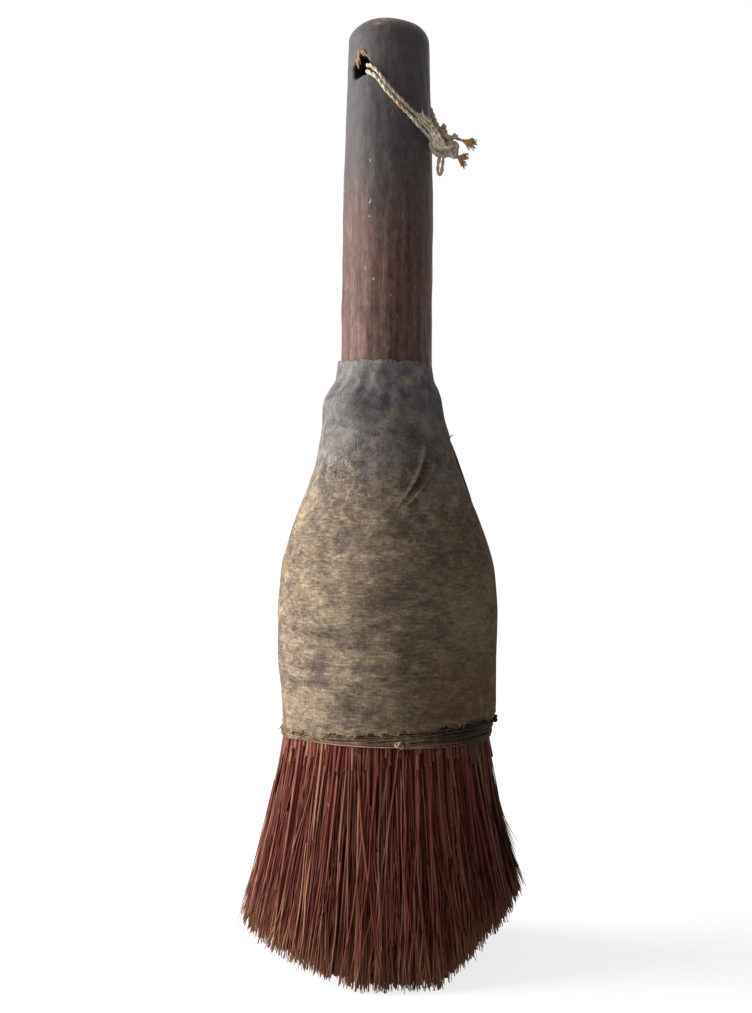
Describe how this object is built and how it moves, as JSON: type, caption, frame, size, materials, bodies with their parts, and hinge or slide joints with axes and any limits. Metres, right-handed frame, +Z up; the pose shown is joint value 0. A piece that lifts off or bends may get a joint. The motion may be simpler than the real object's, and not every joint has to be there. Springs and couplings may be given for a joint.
{
  "type": "hand broom",
  "caption": "Short round hand broom: turned wooden handle with a twine hanging loop, driven into a flared bundle of plant stems under a bottle-shaped cloth sleeve bound with cord.",
  "frame": {"origin": "on the floor under the middle of the brush, where the stem tips stand", "axes": "+Z up the handle; -Y towards the front, where the hanging twine crosses the handle; +X to the right"},
  "size_m": [0.0875, 0.0877, 0.294],
  "materials": {
    "worn_wood": "dark paint worn through to brown wood",
    "stems": "dull red-brown plant stems",
    "canvas": "soiled tan and grey canvas",
    "iron": "dull drawn wire and nail",
    "binding": "dark waxed cord",
    "twine": "matt beige twine, stained"
  },
  "bodies": {
    "broom": {"handle": "worn_wood", "core_bundle": "stems", "inner_stems": "stems", "middle_stems": "stems", "outer_stems": "stems", "stub_stems": "stems", "sleeve": "canvas", "neck_binding": "iron", "neck_nail": "iron", "binding_cord": "binding", "binding_front_knot": "binding", "binding_side_knot": "binding"},
    "hanging_loop": {"loop_lower_strand": "twine", "loop_upper_strand": "twine", "loop_knot": "twine", "loop_bight": "twine", "loop_upper_tail": "twine", "loop_lower_tail": "twine"}
  },
  "joints": [
    {"name": "loop_swing", "type": "hinge", "parent": "broom", "child": "hanging_loop", "pos_m": [0, 0, 0.277], "axis": [-0.682, -0.7314, 0], "range_deg": [0, 55]}
  ]
}
